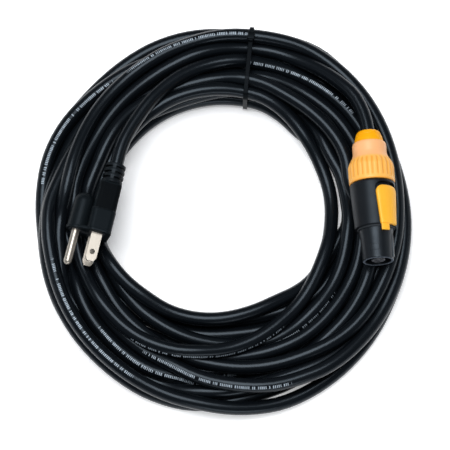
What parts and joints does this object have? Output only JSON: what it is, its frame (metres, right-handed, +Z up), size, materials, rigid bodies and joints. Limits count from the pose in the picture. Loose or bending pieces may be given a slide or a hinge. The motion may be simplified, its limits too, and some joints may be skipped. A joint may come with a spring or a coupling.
{
  "type": "shore power cord",
  "caption": "Coiled black power supply cord with a moulded grounded plug, a round locking connector with an orange nut and yellow latch, and a cable tie round the bundle.",
  "frame": {"origin": "middle of the coil's box, on the surface that the coil lies on", "axes": "+Z up, +Y towards the cable tie, +X towards the side with the locking connector"},
  "size_m": [0.2249, 0.2407, 0.044],
  "materials": {
    "jacket": "satin black cable jacket",
    "tie_nylon": "smooth black nylon",
    "plug_moulding": "satin black moulded vinyl",
    "plug_core": "matt dark insert",
    "pin_metal": "nickel-plated, polished",
    "shell_black": "fine matt black",
    "insert_black": "matt dark insert",
    "contact_metal": "gilt",
    "screw_steel": "zinc-plated steel",
    "wire_black": "smooth black insulation",
    "wire_white": "smooth white insulation",
    "wire_green": "smooth green insulation",
    "clamp_plastic": "plain off-white",
    "seal_rubber": "matt black rubber",
    "tip_yellow": "satin deep yellow",
    "nut_orange": "satin light orange",
    "latch_yellow": "satin yellow"
  },
  "bodies": {
    "cord": {"cable_coil": "jacket", "plug_tail": "jacket", "connector_tail": "jacket", "cable_tie": "tie_nylon", "plug_body": "plug_moulding", "plug_strain_relief": "plug_moulding", "pin_carrier": "plug_core", "line_blade": "pin_metal", "neutral_blade": "pin_metal", "ground_pin": "pin_metal", "plug_wires": "wire_green", "connector_housing": "shell_black", "connector_nose": "shell_black", "front_seal": "seal_rubber", "contact_block": "insert_black", "block_lock_ring": "insert_black", "line_contact": "contact_metal", "neutral_contact": "contact_metal", "earth_contact": "contact_metal", "terminal_screws": "screw_steel", "line_wire": "wire_black", "neutral_wire": "wire_white", "earth_wire": "wire_green", "cable_clamp": "clamp_plastic", "cable_seal": "seal_rubber", "nut_seal": "seal_rubber", "latch_spring": "screw_steel"},
    "gland": {"gland_ring": "tip_yellow"},
    "nut": {"back_nut": "nut_orange"},
    "latch": {"release_latch": "latch_yellow"}
  },
  "joints": [
    {"name": "latch_slide", "type": "slide", "parent": "cord", "child": "latch", "axis": [-0.0576, 0.9983, 0], "range_m": [0, 0.0018], "stiffness_N_per_m": 600, "springref_m": -0.001, "deforming": ["latch_spring"]},
    {"name": "gland_slide", "type": "slide", "parent": "cord", "child": "gland", "axis": [-0.0576, 0.9983, 0], "range_m": [0, 0.0045]},
    {"name": "nut_turn", "type": "hinge", "parent": "gland", "child": "nut", "pos_m": [0.0863, 0.0481, 0.0303], "axis": [-0.0576, 0.9983, 0], "range_deg": [0, 1080]}
  ],
  "couplings": [
    {"joint": "gland_slide", "follows": "nut_turn", "m_per_rad": 0.00023873}
  ]
}
